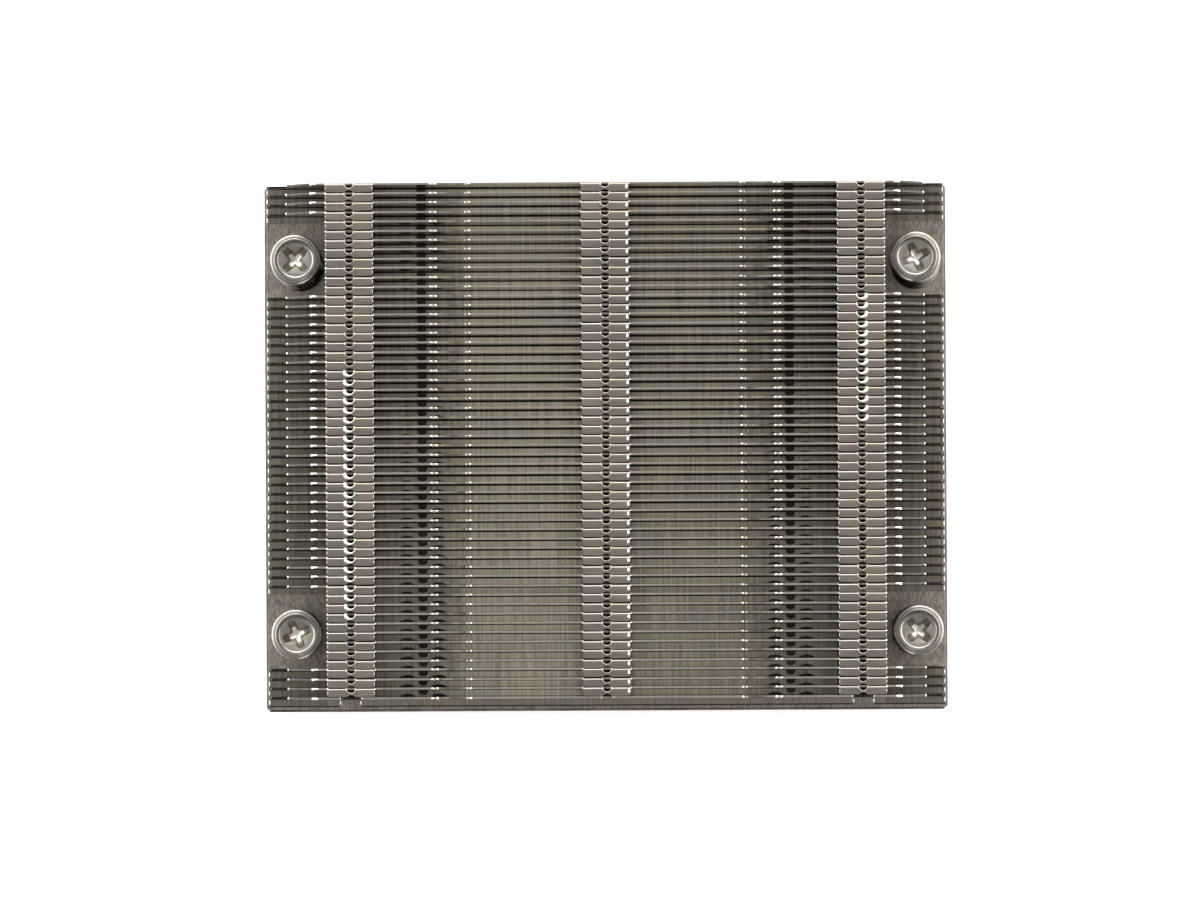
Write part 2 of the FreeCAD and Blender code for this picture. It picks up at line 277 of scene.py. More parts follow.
def plated_metal(name, colour, spread, stretch, roughness, bump, scale=1.0):
    """Plated metal with fine drawn streaks, faint cloudy patches and a slightly uneven gloss."""
    material, nodes, links = new_material(name)
    shader = nodes["Principled BSDF"]
    shader.inputs["Metallic"].default_value = 1.0
    streaks = stretched_noise(nodes, links, stretch, STREAK_SCALE * scale)
    dark = tuple(channel * (1 - spread) for channel in colour)
    light = tuple(channel * (1 + spread) for channel in colour)
    grain = ramp(nodes, links, streaks.outputs["Fac"], [(0.3, dark), (0.7, light)])
    clouds = stretched_noise(nodes, links, EVEN, CLOUD_SCALE, 4.0)
    patches = ramp(nodes, links, clouds.outputs["Fac"], [(0.35, COOL_CLOUD), (0.65, WARM_CLOUD)])
    tone = blended(nodes, links, "MULTIPLY", 1.0, grain.outputs["Color"], patches.outputs["Color"])
    links.new(tone, shader.inputs["Base Color"])
    gloss = nodes.new("ShaderNodeMapRange")
    gloss.inputs["To Min"].default_value = roughness[0]
    gloss.inputs["To Max"].default_value = roughness[1]
    links.new(clouds.outputs["Fac"], gloss.inputs["Value"])
    links.new(gloss.outputs["Result"], shader.inputs["Roughness"])
    relief_node = nodes.new("ShaderNodeBump")
    relief_node.inputs["Strength"].default_value = bump
    relief_node.inputs["Distance"].default_value = STREAK_DEPTH
    links.new(streaks.outputs["Fac"], relief_node.inputs["Height"])
    links.new(relief_node.outputs["Normal"], shader.inputs["Normal"])
    return material


def ranged(nodes, links, source, low, high, first=0.0, last=1.0, clamp=True):
    """A value that goes from first to last while its source goes from low to high."""
    node = nodes.new("ShaderNodeMapRange")
    node.clamp = clamp
    for name, value in (("From Min", low), ("From Max", high), ("To Min", first), ("To Max", last)):
        node.inputs[name].default_value = value
    links.new(source, node.inputs["Value"])
    return node.outputs["Result"]


def place_on_part(nodes, links):
    """Place from left to right, distance from the middle, place to the rear, and height, in metres."""
    coords = nodes.new("ShaderNodeTexCoord")
    split = nodes.new("ShaderNodeSeparateXYZ")
    links.new(coords.outputs["Object"], split.inputs["Vector"])
    side = nodes.new("ShaderNodeMath")
    side.operation = "ABSOLUTE"
    links.new(split.outputs["X"], side.inputs[0])
    return split.outputs["X"], side.outputs["Value"], split.outputs["Y"], split.outputs["Z"]


def product(nodes, links, first, second):
    """Two masks multiplied."""
    node = nodes.new("ShaderNodeMath")
    node.operation = "MULTIPLY"
    links.new(first, node.inputs[0])
    links.new(second, node.inputs[1])
    return node.outputs["Value"]


def masked(nodes, links, mask, first, second):
    """The first colour where the mask is 0 and the second where it is 1."""
    mix = nodes.new("ShaderNodeMix")
    mix.data_type = "RGBA"
    links.new(mask, mix.inputs["Factor"])
    links.new(first, mix.inputs["A"])
    links.new(second, mix.inputs["B"])
    return mix.outputs["Result"]


def toned(colour, level):
    """A colour made darker or lighter."""
    return tuple(channel * level for channel in colour)


def sheet_metal(top, base):
    """Plated sheet: drawn streaks on top; mirror-like walls and brushed feet painted paler as painted
    light in the slots; painted shade across the slots by place, along the creases and on the feet of the
    low ends.
    """
    material = plated_metal("plated_sheet", NICKEL, 0.1, (0.06, 1.0, 1.0), (0.26, 0.4), 0.25)
    nodes = material.node_tree.nodes
    links = material.node_tree.links
    shader = nodes["Principled BSDF"]
    across, side, depth, height = place_on_part(nodes, links)
    below = ranged(nodes, links, height, top - 0.7 * MM, top - 1.1 * MM)
    crease = ranged(nodes, links, height, base + 1.0 * MM, base + 0.6 * MM)
    foot = ranged(nodes, links, height, base + 0.4 * MM, base + 0.32 * MM)
    behind = ranged(nodes, links, depth, STACK_FRONT + 0.1 * MM, STACK_FRONT + 0.2 * MM)
    before = ranged(nodes, links, depth, STACK_REAR - 0.13 * MM, STACK_REAR - 0.2 * MM)
    inside = product(nodes, links, behind, before)
    ends = ranged(nodes, links, side, short_high.x, short_high.x + 0.4 * MM)
    brushing = stretched_noise(nodes, links, (1.0, 0.04, 0.3), 2600.0)
    # the walls and feet inside the stack are paler copies of the plating: painted light in the slots
    walls = ramp(nodes, links, brushing.outputs["Fac"], [(0.34, toned(PALE, 0.94)), (0.66, PALE)])
    feet = ramp(nodes, links, brushing.outputs["Fac"], [(0.34, toned(FOOT, 0.62)), (0.66, FOOT)])
    rows = stretched_noise(nodes, links, (0.2, 1.0, 0.2), 420.0, 2.0)
    tint_stops = [(0.35, (0.95, 1.0, 0.97)), (0.65, (1.0, 0.96, 0.95))]
    tint = ramp(nodes, links, rows.outputs["Fac"], tint_stops)
    feet_tinted = blended(nodes, links, "MULTIPLY", 1.0, feet.outputs["Color"], tint.outputs["Color"])
    # painted shade across the slots by place
    stops = [((x + ZONE_REACH) / (2 * ZONE_REACH), toned(SLOT_SHADE_TINT, level)) for x, level in SLOT_SHADE]
    slot_shade = ramp(nodes, links, ranged(nodes, links, across, -ZONE_REACH * MM, ZONE_REACH * MM), stops)
    slots = masked(nodes, links, foot, walls.outputs["Color"], feet_tinted)
    shaded = blended(nodes, links, "MULTIPLY", 1.0, slots, slot_shade.outputs["Color"])
    dull = ramp(nodes, links, brushing.outputs["Fac"], [(0.3, toned(DULL, 0.6)), (0.7, DULL)])
    # painted shade on the feet of the low ends
    end_feet_shade_stops = [(0.3, toned(DULL, 0.44)), (0.7, toned(DULL, 0.78))]
    end_feet_shade = ramp(nodes, links, brushing.outputs["Fac"], end_feet_shade_stops)
    # near-black painted shade for the creases
    crease_shade_stops = [(0.3, toned(DULL, 0.08)), (0.7, toned(DULL, 0.18))]
    dark = ramp(nodes, links, brushing.outputs["Fac"], crease_shade_stops)
    tone = shader.inputs["Base Color"].links[0].from_socket
    outer = masked(nodes, links, foot, tone, dull.outputs["Color"])
    covered = masked(nodes, links, inside, outer, shaded)
    low_ends = product(nodes, links, ends, foot)
    covered = masked(nodes, links, low_ends, covered, end_feet_shade.outputs["Color"])
    # painted shade along the crease, which lies in one band of each pitch, a little narrower at the ends
    spacing = ranged(nodes, links, depth, STACK_REAR, STACK_REAR - pitch, clamp=False)
    share = nodes.new("ShaderNodeMath")
    share.operation = "FRACT"
    links.new(spacing, share.inputs[0])
    beyond = ranged(nodes, links, share.outputs["Value"], 0.2, 0.23)
    thinner = nodes.new("ShaderNodeMath")
    thinner.operation = "MULTIPLY_ADD"
    thinner.inputs[1].default_value = 0.05
    links.new(ends, thinner.inputs[0])
    links.new(share.outputs["Value"], thinner.inputs[2])
    near = ranged(nodes, links, thinner.outputs["Value"], 0.38, 0.33)
    folded = product(nodes, links, crease, product(nodes, links, beyond, near))
    covered = masked(nodes, links, folded, covered, dark.outputs["Color"])
    links.new(masked(nodes, links, below, tone, covered), shader.inputs["Base Color"])
    gloss = shader.inputs["Roughness"].links[0].from_socket
    for mask, level in ((product(nodes, links, below, inside), 0.05), (foot, 0.28), (low_ends, 0.38)):
        mix = nodes.new("ShaderNodeMix")
        mix.inputs["B"].default_value = level
        links.new(mask, mix.inputs["Factor"])
        links.new(gloss, mix.inputs["A"])
        gloss = mix.outputs["Result"]
    links.new(gloss, shader.inputs["Roughness"])
    return material


def edge_metal(top, base):
    """Sheared edges painted lighter than the sheet on top, a painted highlight, and painted shade lower
    down: darker on the lower edges, near black on the shoulders' slopes and deep in the cuts.
    """
    # the top edges are painted lighter than the sheet: a painted highlight
    material = plated_metal("sheared_edge", (0.6, 0.56, 0.5), 0.08, EVEN, (0.2, 0.3), 0.3)
    nodes = material.node_tree.nodes
    links = material.node_tree.links
    shader = nodes["Principled BSDF"]
    _, side, _, height = place_on_part(nodes, links)
    low = ranged(nodes, links, height, top - 0.2 * MM, top - 0.3 * MM)
    grain = stretched_noise(nodes, links, EVEN, 420.0)
    # painted shade on the lower edges, near black on the shoulders' slopes and deep in the cuts
    low_edge_shade_stops = [(0.38, toned(DULL, 0.48)), (0.62, toned(DULL, 1.15))]
    dull = ramp(nodes, links, grain.outputs["Fac"], low_edge_shade_stops)
    near_black_shade_stops = [(0.3, toned(DULL, 0.07)), (0.7, toned(DULL, 0.16))]
    near_black_shade = ramp(nodes, links, grain.outputs["Fac"], near_black_shade_stops)
    slope_start = SHOULDER_START * MM
    shoulders = ranged(nodes, links, side, slope_start - 0.4 * MM, slope_start)
    lower = masked(nodes, links, shoulders, dull.outputs["Color"], near_black_shade.outputs["Color"])
    cut = ranged(nodes, links, height, top - 1.3 * MM, top - 1.34 * MM)
    deep = product(nodes, links, cut, ranged(nodes, links, height, base + 2 * MM, base + 3 * MM))
    lower = masked(nodes, links, deep, lower, near_black_shade.outputs["Color"])
    tone = shader.inputs["Base Color"].links[0].from_socket
    links.new(masked(nodes, links, low, tone, lower), shader.inputs["Base Color"])
    return material


def plate_finish():
    """Brushed plate with painted shade under the fins, a dark line along the last foot's edge that is
    partly a seam and partly painted shade, and darker along the top of its side and front edges.
    """
    bare = (0.45, 0.405, 0.352)
    material = plated_metal("brushed_plate", bare, 0.4, (1.0, 0.3, 1.0), (0.3, 0.42), 0.15, 3.0)
    nodes = material.node_tree.nodes
    links = material.node_tree.links
    shader = nodes["Principled BSDF"]
    _, side, depth, height = place_on_part(nodes, links)
    top_face = ranged(nodes, links, height, plate_high.z - 0.6 * MM, plate_high.z - 0.5 * MM)
    under = product(
        nodes,
        links,
        ranged(nodes, links, side, short_high.x + 0.2 * MM, short_high.x - 0.4 * MM),
        ranged(nodes, links, depth, STACK_FRONT, STACK_FRONT + 0.2 * MM),
    )
    under = product(nodes, links, under, ranged(nodes, links, depth, STACK_REAR, STACK_REAR - 0.2 * MM))
    mottle = stretched_noise(nodes, links, EVEN, 260.0)
    # painted shade under the fins, also used for the line along the last foot's edge
    painted_shade_stops = [(0.3, toned(NICKEL, 0.16)), (0.7, toned(NICKEL, 0.3))]
    painted_shade = ramp(nodes, links, mottle.outputs["Fac"], painted_shade_stops)
    # dark line along the last foot's edge: partly a seam, partly painted shade
    seam_and_shade = product(
        nodes,
        links,
        ranged(nodes, links, depth, last_low.y - 0.22 * MM, last_low.y - 0.18 * MM),
        ranged(nodes, links, depth, last_low.y + 0.02 * MM, last_low.y),
    )
    notch = product(
        nodes,
        links,
        ranged(nodes, links, side, NOTCH_INNER - 0.1 * MM, NOTCH_INNER),
        ranged(nodes, links, side, NOTCH_OUTER + 0.1 * MM, NOTCH_OUTER),
    )
    rim = ranged(nodes, links, side, plate_high.x - 0.36 * MM, plate_high.x - 0.3 * MM)
    lip = ranged(nodes, links, depth, plate_low.y + 0.36 * MM, plate_low.y + 0.3 * MM)
    # darker along the top of the side and front edges
    rim_dark_stops = [(0.3, toned(NICKEL, 0.25)), (0.7, toned(NICKEL, 0.55))]
    rim_dark = ramp(nodes, links, mottle.outputs["Fac"], rim_dark_stops)
    rim = product(nodes, links, rim, top_face)
    lip = product(nodes, links, lip, top_face)
    seam_and_shade = product(nodes, links, seam_and_shade, top_face)
    tone = shader.inputs["Base Color"].links[0].from_socket
    tone = masked(nodes, links, product(nodes, links, under, top_face), tone, painted_shade.outputs["Color"])
    line = masked(nodes, links, notch, painted_shade.outputs["Color"], tone)
    tone = masked(nodes, links, seam_and_shade, tone, line)
    tone = masked(nodes, links, rim, tone, rim_dark.outputs["Color"])
    links.new(masked(nodes, links, lip, tone, rim_dark.outputs["Color"]), shader.inputs["Base Color"])
    return material


plate_metal = plate_finish()
fin_metal = sheet_metal(last_high.z, last_low.z)
fin_edge = edge_metal(last_high.z, last_low.z)
# near-white painted glints on the burrs, the heavy rims and the bottom of the screw recess
painted_glint_metal = plated_metal("painted_glint_metal", (1.0, 0.97, 0.92), 0.05, EVEN, (0.4, 0.5), 0.2)
# darker, rougher metal for the walls of the screw's recess: painted shade
recess_shade_metal = plated_metal("recess_shade_metal", (0.34, 0.315, 0.26), 0.15, EVEN, (0.4, 0.5), 0.3)
face_metal = plated_metal("head_face", (0.345, 0.325, 0.286), 0.14, EVEN, (0.36, 0.5), 0.5)
screw_metal = plated_metal("plated_screw", (0.39, 0.37, 0.33), 0.1, EVEN, (0.3, 0.42), 0.3, 0.6)
# the spring wire is painted darker than the screws: painted shade under the heads
spring_shade_metal = plated_metal("spring_wire", (0.26, 0.245, 0.215), 0.1, EVEN, (0.22, 0.32), 0.2)

# ---------------------------------------------------------------- fins

# millimetres; BEND is the radius of both folds at the middle of the sheet
SHEET = 0.3
BEND = 0.27
LAP_CLEARANCE = 0.02
REACH = pitch / MM - LAP_CLEARANCE
HEIGHT = (first_high.z - first_low.z) / MM
TAB_WIDTH = 7.2
TAB_CENTRE = short_high.x / MM - TAB_WIDTH / 2
NOTCH_CENTRE = TAB_CENTRE + 0.4
FULL_END = first_high.x / MM
SHORT_END = short_high.x / MM
PLAIN_TOP = HEIGHT - 0.45
# the shallow step beside the tabs: where its floor and its upper corners lie, and its depth
STEP_INNER = 20.4
STEP_FLOOR_INNER = 21.1
STEP_FLOOR_OUTER = 25.4
STEP_OUTER = 26.3
STEP_DEPTH = 0.8
# the sloping shoulder and the low end of a full-length fin
SHOULDER_END = 48.1
SHOULDER_HEIGHT = 12.0
END_HEIGHT = 4.0
# lock holes: half width, start from the tab's lip, end below the fin's top, and the rim round each
LOCK_HALF = 0.64
LOCK_START = 0.62
LOCK_DROP = 1.4
LOCK_RIM_HALF = 0.7
LOCK_RIM_THICK = 0.08
# shares of the stack, from the rear, along which the rims are heavy to one side and painted as glints
LEFT_HEAVY = (0.36, 0.84)
RIGHT_HEAVY = (0.2, 0.47)
# cut-outs of the foot
WINDOW_CENTRE = 27.95
WINDOW_HALF = 0.72
SCALLOP_CENTRES = (30.35, 25.55)
SCALLOP_HALF = 1.25
SCALLOP_DEPTH = 0.4
# notches in the top of the last fin
TOP_NOTCH_DEPTH = 3.0
VEE_HALF = 0.9
VEE_DEPTH = 1.1
# rounding of all sheared edges, and flat strips in each fold
EDGE_RADIUS = 0.11
BEND_STEPS = 5
# how far single fins stray from their true direction, in degrees
LEAN_SPREAD = 0.08
TWIST_SPREAD = 0.02

# distances along the flat sheet, from the tab's lip to the foot's
TAB_FLAT = REACH - SHEET / 2 - BEND
ARC = BEND * math.pi / 2
ARC_END = TAB_FLAT + ARC
WALL = HEIGHT - SHEET - 2 * BEND
WALL_END = ARC_END + WALL
FOOT_START = WALL_END + ARC
FOOT_END = FOOT_START + TAB_FLAT


def down(height):
    """Distance along the sheet, from the tab's lip, of a height on the wall."""
    return ARC_END + HEIGHT - SHEET / 2 - BEND - height


def fold(x, along):
    """Place of a point of the flat pattern on the folded sheet's middle, in millimetres."""
    middle = SHEET / 2
    upper = HEIGHT - middle - BEND
    lower = middle + BEND
    if along <= TAB_FLAT:
        return Vector((x, -REACH + along, HEIGHT - middle))
    if along <= ARC_END:
        turn = (along - TAB_FLAT) / BEND
        return Vector((x, -lower + BEND * math.sin(turn), upper + BEND * math.cos(turn)))
    if along <= WALL_END:
        return Vector((x, -middle, upper - (along - ARC_END)))
    if along <= FOOT_START:
        turn = (along - WALL_END) / BEND
        return Vector((x, -lower + BEND * math.cos(turn), lower - BEND * math.sin(turn)))
    return Vector((x, -lower - (along - FOOT_START), middle))


# corners (x, along, radius) of the round notch in a tab's lip
LIP_NOTCH = [
    (-0.62, 0.0, 0.05),
    (-0.52, 0.2, 0.2),
    (0.0, 0.32, 0.3),
    (0.52, 0.2, 0.2),
    (0.62, 0.0, 0.05),
]


def tab_outline(centre):
    """Corners of one lock tab, left to right, with a round notch in the lip before the next lock hole."""
    left = centre - TAB_WIDTH / 2
    right = centre + TAB_WIDTH / 2
    plain = down(PLAIN_TOP)
    return [
        (left, plain, 0.12),
        (left, 0.04, 0.25),
        *[(centre + x, along, radius) for x, along, radius in LIP_NOTCH],
        (right, 0.04, 0.25),
        (right, plain, 0.12),
    ]


def mirrored(points, sign):
    """The same corners, or for a negative sign their mirror image, still from left to right."""
    if sign > 0:
        return points
    return [(-x, along, radius) for x, along, radius in reversed(points)]


def relief(sign):
    """The shallow step in the plain edge between two rows of tabs."""
    plain = down(PLAIN_TOP)
    low = down(PLAIN_TOP - STEP_DEPTH)
    points = [
        (STEP_INNER, plain, 0.25),
        (STEP_FLOOR_INNER, low, 0.25),
        (STEP_FLOOR_OUTER, low, 0.25),
        (STEP_OUTER, plain, 0.25),
    ]
    return mirrored(points, sign)


def shoulder(sign):
    """The low end of a full-length fin, with rounded corners."""
    points = [
        (SHOULDER_START, down(PLAIN_TOP), 1.0),
        (SHOULDER_END, down(SHOULDER_HEIGHT), 0.5),
        (SHOULDER_END, down(END_HEIGHT), 0.3),
        (FULL_END, down(END_HEIGHT), 0.6),
        (FULL_END, FOOT_END, 0.2),
    ]
    return mirrored(points, sign)


def lock_hole(centre):
    """The slot that runs from the tab over the fold into the wall."""
    end = down(HEIGHT - LOCK_DROP)
    corners = [
        (centre - LOCK_HALF, LOCK_START, LOCK_HALF * 0.9),
        (centre + LOCK_HALF, LOCK_START, LOCK_HALF * 0.9),
        (centre + LOCK_HALF, end, 0.2),
        (centre - LOCK_HALF, end, 0.2),
    ]
    return rounded(corners, 6)


def top_notch(centre):
    """Notch in the last fin's top edge, left to right."""
    plain = down(PLAIN_TOP)
    return [
        (centre - 1.55, plain, 0.15),
        (centre - 1.45, plain + TOP_NOTCH_DEPTH, 0.3),
        (centre + 1.45, plain + TOP_NOTCH_DEPTH, 0.3),
        (centre + 1.55, plain, 0.15),
    ]


def foot_notch(centre):
    """Notch in the foot's lip with slanted ends, right to left."""
    return [
        (centre + 1.6, FOOT_END, 0.1),
        (centre + 1.4, FOOT_START + 0.15, 0.15),
        (centre - 1.4, FOOT_START + 0.15, 0.15),
        (centre - 1.6, FOOT_END, 0.1),
    ]


def scallop(centre):
    """Shallow arc cut into the foot's lip, right to left."""
    points = []
    for share in (1, 0.6, 0.2, -0.2, -0.6, -1):
        depth = SCALLOP_DEPTH * (1 - share * share)
        points.append((centre + SCALLOP_HALF * share, FOOT_END - depth, 0))
    return points


def foot_window(centre):
    """U-shaped window in the foot, from its bend towards the lip."""
    corners = [
        (centre - WINDOW_HALF, FOOT_START - 0.1, 0.1),
        (centre + WINDOW_HALF, FOOT_START - 0.1, 0.1),
        (centre + WINDOW_HALF, FOOT_END - 0.2, 0.55),
        (centre - WINDOW_HALF, FOOT_END - 0.2, 0.55),
    ]
    return rounded(corners)


def foot_lip(kind):
    """The cut-outs along the foot's lip, right to left."""
    cuts = [(sign * centre, scallop) for sign in (-1, 1) for centre in SCALLOP_CENTRES]
    if kind == "last":
        cuts += [(NOTCH_CENTRE, foot_notch), (-NOTCH_CENTRE, foot_notch)]
    outline = []
    for centre, shape in sorted(cuts, key=lambda cut: -cut[0]):
        outline += shape(centre)
    return outline


def flat_pattern(kind):
    """Outline and holes of a fin's flat pattern: full, short or last."""
    end = SHORT_END if kind == "short" else FULL_END
    plain = down(PLAIN_TOP)
    outline = []
    if kind == "full":
        outline += shoulder(-1) + tab_outline(-TAB_CENTRE) + relief(-1) + tab_outline(0)
        outline += relief(1) + tab_outline(TAB_CENTRE) + shoulder(1)
    elif kind == "short":
        left = tab_outline(-TAB_CENTRE)[1:]
        right = tab_outline(TAB_CENTRE)[:-1]
        outline += [(-end, FOOT_END, 0.2)] + left + relief(-1) + tab_outline(0) + relief(1) + right
        outline += [(end, FOOT_END, 0.2)]
    else:
        vee = [(-VEE_HALF, plain, 0.1), (0.0, plain + VEE_DEPTH, 0.1), (VEE_HALF, plain, 0.1)]
        outline += shoulder(-1) + top_notch(-TAB_CENTRE) + relief(-1) + vee
        outline += relief(1) + top_notch(TAB_CENTRE) + shoulder(1)
    points = rounded(outline + foot_lip(kind))
    holes = [foot_window(centre) for centre in (-WINDOW_CENTRE, WINDOW_CENTRE)]
    if kind != "last":
        holes += [lock_hole(centre) for centre in (-TAB_CENTRE, 0, TAB_CENTRE)]
    return points, holes


def fin_form(kind):
    """A fin's mesh at the origin: its wall's rear face on Y = 0 and its foot on Z = 0, in metres.

    The flat pattern is cut into triangles with edges along every step of its folds, then folded,
    and its flat stretches become single faces again before the sheet gets its thickness.
    """
    points, holes = flat_pattern(kind)
    coords = list(points)
    loops = [list(range(len(points)))]
    for hole in holes:
        loops.append(list(range(len(coords), len(coords) + len(hole))))
        coords += hole
    edges = []
    bends = [TAB_FLAT + ARC * step / BEND_STEPS for step in range(BEND_STEPS + 1)]
    bends += [WALL_END + ARC * step / BEND_STEPS for step in range(BEND_STEPS + 1)]
    for along in bends:
        edges.append((len(coords), len(coords) + 1))
        coords += [Vector((-FULL_END - 1, along)), Vector((FULL_END + 1, along))]
    result = delaunay_2d_cdt([Vector(point) for point in coords], edges, loops, 0, 1e-5, True)
    verts, faces, owners = result[0], result[2], result[5]
    kept = [face for face, owner in zip(faces, owners) if list(owner) == [0]]
    used = sorted({index for face in kept for index in face})
    renumbered = {old: new for new, old in enumerate(used)}
    folded = [fold(verts[index].x, verts[index].y) * MM for index in used]
    mesh = mesh_from(f"{kind}_fin", folded, [[renumbered[index] for index in face] for face in kept])
    builder = bmesh.new()
    builder.from_mesh(mesh)
    bmesh.ops.dissolve_limit(
        builder, angle_limit=math.radians(1), verts=builder.verts, edges=builder.edges, delimit=set()
    )
    bmesh.ops.recalc_face_normals(builder, faces=builder.faces)
    builder.to_mesh(mesh)
    builder.free()
    form = add_object(f"{kind}_fin_form", mesh)
    mesh.materials.append(fin_metal)
    mesh.materials.append(fin_edge)
    mesh.materials.append(painted_glint_metal)
    solid = form.modifiers.new("thickness", "SOLIDIFY")
    solid.material_offset_rim = 1
    solid.thickness = SHEET * MM
    solid.offset = 0
    solid.use_even_offset = True
    bevel = form.modifiers.new("burnished_edges", "BEVEL")
    bevel.width = EDGE_RADIUS * MM
    bevel.segments = 3
    bevel.material = 1
    bevel.harden_normals = True
    bevel.limit_method = "ANGLE"
    bevel.angle_limit = math.radians(50)
    mesh.shade_smooth()
    baked = bake_modifiers(form)
    bpy.data.objects.remove(form)
    return baked


def nub(x, y, z, radius, stretch=(1, 1, 1)):
    """A small burr: a ball of metal at a stamped corner, in millimetres, painted as a bright glint."""
    builder = bmesh.new()
    place = Matrix.Translation(Vector((x, y, z)) * MM) @ Matrix.Diagonal((*stretch, 1))
    bmesh.ops.create_icosphere(builder, subdivisions=2, radius=radius * MM, matrix=place)
    for face in builder.faces:
        face.material_index = 2
    mesh = bpy.data.meshes.new("nub")
    builder.to_mesh(mesh)
    builder.free()
    mesh.shade_smooth()
    return mesh


def rim(centre, heavy_side):
    """Raised rim round the open end of a lock hole, heavier to one side (-1 left, 1 right, 0 neither); a
    heavy rim is painted as a bright glint, the others get the edge colour.
    """
    steps = 12
    sides = 8
    path = [(centre - LOCK_RIM_HALF, -0.06, math.pi)]
    for step in range(steps + 1):
        turn = math.pi + math.pi * step / steps
        x = centre + LOCK_RIM_HALF * math.cos(turn)
        path.append((x, -0.2 + LOCK_RIM_HALF * math.sin(turn) * 0.92, turn))
    path.append((centre + LOCK_RIM_HALF, -0.06, 2 * math.pi))
    heavy = Vector((heavy_side, -0.75, 0)).normalized()
    verts = []
    for x, y, turn in path:
        outward = Vector((math.cos(turn), math.sin(turn), 0))
        weight = max(0, outward.dot(heavy)) if heavy_side else 0
        radius = LOCK_RIM_THICK * (1 + 2.6 * weight * weight)
        middle = Vector((x, y, HEIGHT - 0.03)) + outward * (radius - LOCK_RIM_THICK) * 0.6
        for side in range(sides):
            angle = 2 * math.pi * side / sides
            point = middle + outward * radius * math.cos(angle)
            point.z += LOCK_RIM_THICK * math.sin(angle)
            verts.append(point * MM)
    mesh = closed_tube("rim", verts, sides)
    for face in mesh.polygons:
        face.material_index = 2 if heavy_side else 1
    mesh.shade_smooth()
    return mesh


def burrs(kind, share):
    """The small details of one fin, painted bright as glints and highlights; share is how far down the
    stack it stands, 0 to 1.
    """
    middle = -SHEET / 2
    meshes = []
    for sign in (-1, 1):
        meshes.append(nub(sign * (STEP_INNER + 0.1), middle, PLAIN_TOP - 0.02, 0.2))
        meshes.append(nub(sign * (STEP_OUTER + 0.05), middle, PLAIN_TOP - 0.02, 0.19))
        meshes.append(nub(sign * (STEP_FLOOR_OUTER + 0.2), middle, PLAIN_TOP - 0.55, 0.21))
    if kind != "short":
        for sign in (-1, 1):
            x = sign * (SHOULDER_START - 0.65)
            meshes.append(nub(x, middle, PLAIN_TOP - 0.03, 0.2, (2.3, 1, 1)))
            meshes.append(nub(sign * (SHOULDER_END + 0.05), middle, SHOULDER_HEIGHT, 0.2))
            meshes.append(nub(sign * (FULL_END - 0.08), -0.87, 0.27, 0.1, (1, 4.6, 1)))
    if kind == "last":
        for x in (NOTCH_CENTRE - 1.55, NOTCH_CENTRE + 1.55):
            for sign in (-1, 1):
                meshes.append(nub(sign * x, -0.9, 0.28, 0.12, (1, 3.6, 1)))
    else:
        for sign in (-1, 1):
            x = sign * (TAB_CENTRE + TAB_WIDTH / 2 - 0.08)
            meshes.append(nub(x, -0.2, HEIGHT - 0.18, 0.17))
            for edge in (-1, 1):
                x = sign * TAB_CENTRE + edge * (TAB_WIDTH / 2 - 0.07)
                meshes.append(nub(x, -0.8, HEIGHT - 0.06, 0.07, (1, 8, 1)))
        left_side = -1 if LEFT_HEAVY[0] < share < LEFT_HEAVY[1] else 0
        right_side = 1 if RIGHT_HEAVY[0] < share < RIGHT_HEAVY[1] else 0
        meshes.append(nub(TAB_WIDTH / 2 - 0.3, -0.72, HEIGHT - 0.12, 0.24, (0.9, 1.8, 0.9)))
        meshes.append(rim(-TAB_CENTRE, left_side))
        meshes.append(rim(0, 0))
        meshes.append(rim(TAB_CENTRE, right_side))
    return meshes


def place_fin(form, kind, rear_y):
    """The fin at its place in the stack, with its burrs and a slight lean of its own."""
    share = (first_high.y - rear_y) / (first_high.y - last_high.y)
    lean = Matrix.Rotation(math.radians(random.gauss(0, LEAN_SPREAD)), 4, "X")
    twist = Matrix.Rotation(math.radians(random.gauss(0, TWIST_SPREAD)), 4, "Z")
    place = Matrix.Translation((0, rear_y, first_low.z)) @ twist @ lean
    return moved_copy(joined("fin", [form] + burrs(kind, share)), place)


def build_fins():
    """One piece for each full-length fin and one for each group of short ones."""
    forms = {kind: fin_form(kind) for kind in ("full", "short", "last")}
    pieces = []
    for node in full_nodes:
        kind = "last" if node == last_node else "full"
        piece = add_object(f"sheet_{node}", place_fin(forms[kind], kind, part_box(node)[1].y))
        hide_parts(node)
        pieces.append(piece)
    for node in SHORT_GROUPS:
        low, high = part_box(node)
        count = round((high.y - low.y) / pitch)
        meshes = [place_fin(forms["short"], "short", high.y - index * pitch) for index in range(count)]
        piece = add_object(f"sheets_{node}", joined(node, meshes))
        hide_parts(node)
        pieces.append(piece)
    for piece in pieces:
        piece.data.materials.append(fin_metal)
        piece.data.materials.append(fin_edge)
        piece.data.materials.append(painted_glint_metal)
        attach(piece, "heatsink")


build_fins()

# ---------------------------------------------------------------- screws

screw_low, screw_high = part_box("screw_rear_left")
clip_low, clip_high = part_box("clip_rear_left")
# millimetres; SEAT is the underside of the head
HEAD_TOP = screw_high.z / MM
HEAD_HEIGHT = 3.0
HEAD_BODY = 3.6
HEAD_ROUND = 0.2
TIP = screw_low.z / MM
SEAT = HEAD_TOP - HEAD_HEIGHT
THREAD_PITCH = 0.7
THREAD_ROOT = 1.64
THREAD_CREST = 1.98
GROOVE_RADIUS = 1.5
SHANK_RADIUS = 2.0
